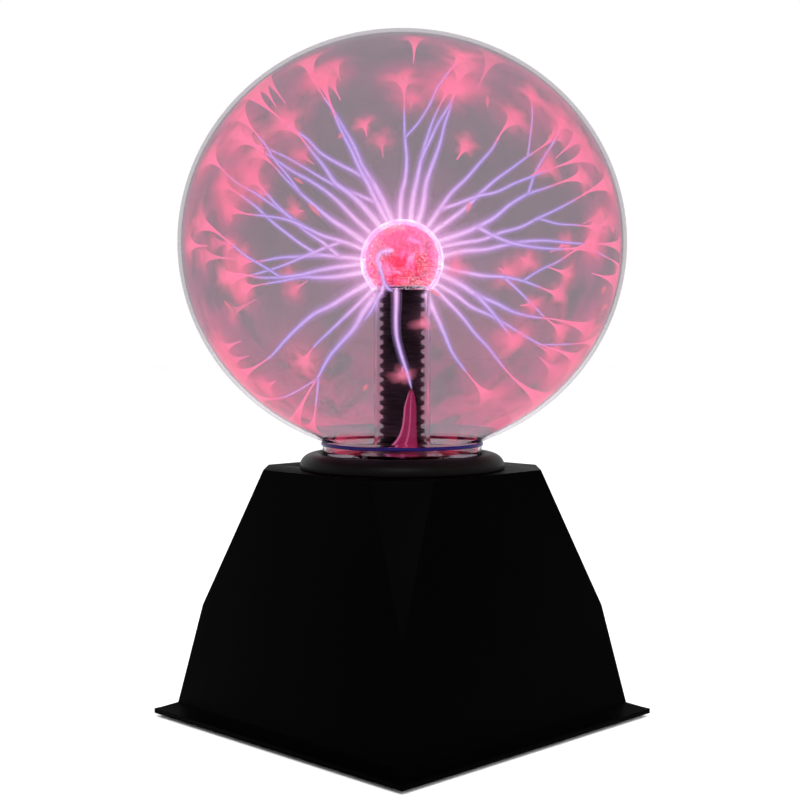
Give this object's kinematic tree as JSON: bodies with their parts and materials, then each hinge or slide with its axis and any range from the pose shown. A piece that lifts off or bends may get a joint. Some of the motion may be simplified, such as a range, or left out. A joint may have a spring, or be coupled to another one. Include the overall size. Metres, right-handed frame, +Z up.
{
  "type": "plasma ball",
  "caption": "Glass plasma globe on a stem electrode with a corrugated sleeve, standing on a black faceted square housing with a rear inlet and slide switch.",
  "frame": {"origin": "on the standing surface, under the middle of the globe", "axes": "+Z up along the globe's axis; -Y is the front wall and +Y the rear wall with the control panel; +X is the right-hand wall seen from the front"},
  "size_m": [0.2, 0.2, 0.3088],
  "materials": {
    "globe_glass": "smooth, faintly smoky glass",
    "stem_glass": "smooth clear glass",
    "electrode": "packed conductive wool, glowing pink",
    "brass": "turned",
    "sleeve_plastic": "corrugated, satin black",
    "lead_rubber": "smooth insulation",
    "black_rubber": "matte",
    "blue_silicone": "smooth silicone",
    "collar_plastic": "satin black",
    "housing_plastic": "fine grained satin black",
    "cover_plastic": "matte black",
    "panel_plastic": "fine texture",
    "steel": "zinc plated",
    "nickel": "nickel plated",
    "black_plastic": "moulded",
    "lever_plastic": "moulded",
    "board_laminate": "green solder mask",
    "ferrite": "pressed ferrite",
    "coil_resin": "potted winding",
    "copper_winding": "enamelled wire",
    "aluminium": "extruded",
    "capacitor_sleeve": "shrink sleeve",
    "fuse_glass": "clear tube with caps",
    "resistor_body": "lacquered",
    "wire_red": "insulation",
    "wire_grey": "insulation"
  },
  "bodies": {
    "base": {"glass_globe": "globe_glass", "stem_glass": "stem_glass", "electrode_core": "electrode", "electrode_contact": "brass", "corrugated_sleeve": "sleeve_plastic", "hv_lead": "lead_rubber", "stem_grommet": "black_rubber", "neck_band": "blue_silicone", "neck_gasket": "black_rubber", "collar_ring": "collar_plastic", "collar_screws": "steel", "base_shell": "housing_plastic", "bottom_cover": "cover_plastic", "bottom_screws": "steel", "foot_front_left": "black_rubber", "foot_front_right": "black_rubber", "foot_rear_left": "black_rubber", "foot_rear_right": "black_rubber", "rear_panel": "panel_plastic", "panel_screws": "steel", "dc_jack": "black_plastic", "dc_jack_pin": "nickel", "dc_jack_nut": "nickel", "switch_body": "black_plastic", "switch_bracket": "steel", "switch_terminals": "nickel", "switch_screws": "steel", "microphone": "aluminium", "microphone_boot": "black_rubber", "circuit_board": "board_laminate", "board_screws": "steel", "ferrite_core": "ferrite", "hv_coil": "coil_resin", "primary_coil": "copper_winding", "heat_sink": "aluminium", "power_transistor": "black_plastic", "transistor_screw": "steel", "capacitors": "capacitor_sleeve", "fuse": "fuse_glass", "resistors": "resistor_body", "control_chip": "black_plastic", "power_wires": "wire_red", "switch_wires": "wire_grey", "microphone_wires": "wire_grey"},
    "switch": {"switch_lever": "lever_plastic"}
  },
  "joints": [
    {"name": "power_switch", "type": "slide", "parent": "base", "child": "switch", "axis": [1, 0, 0], "range_m": [-0.0025, 0.0025]}
  ]
}
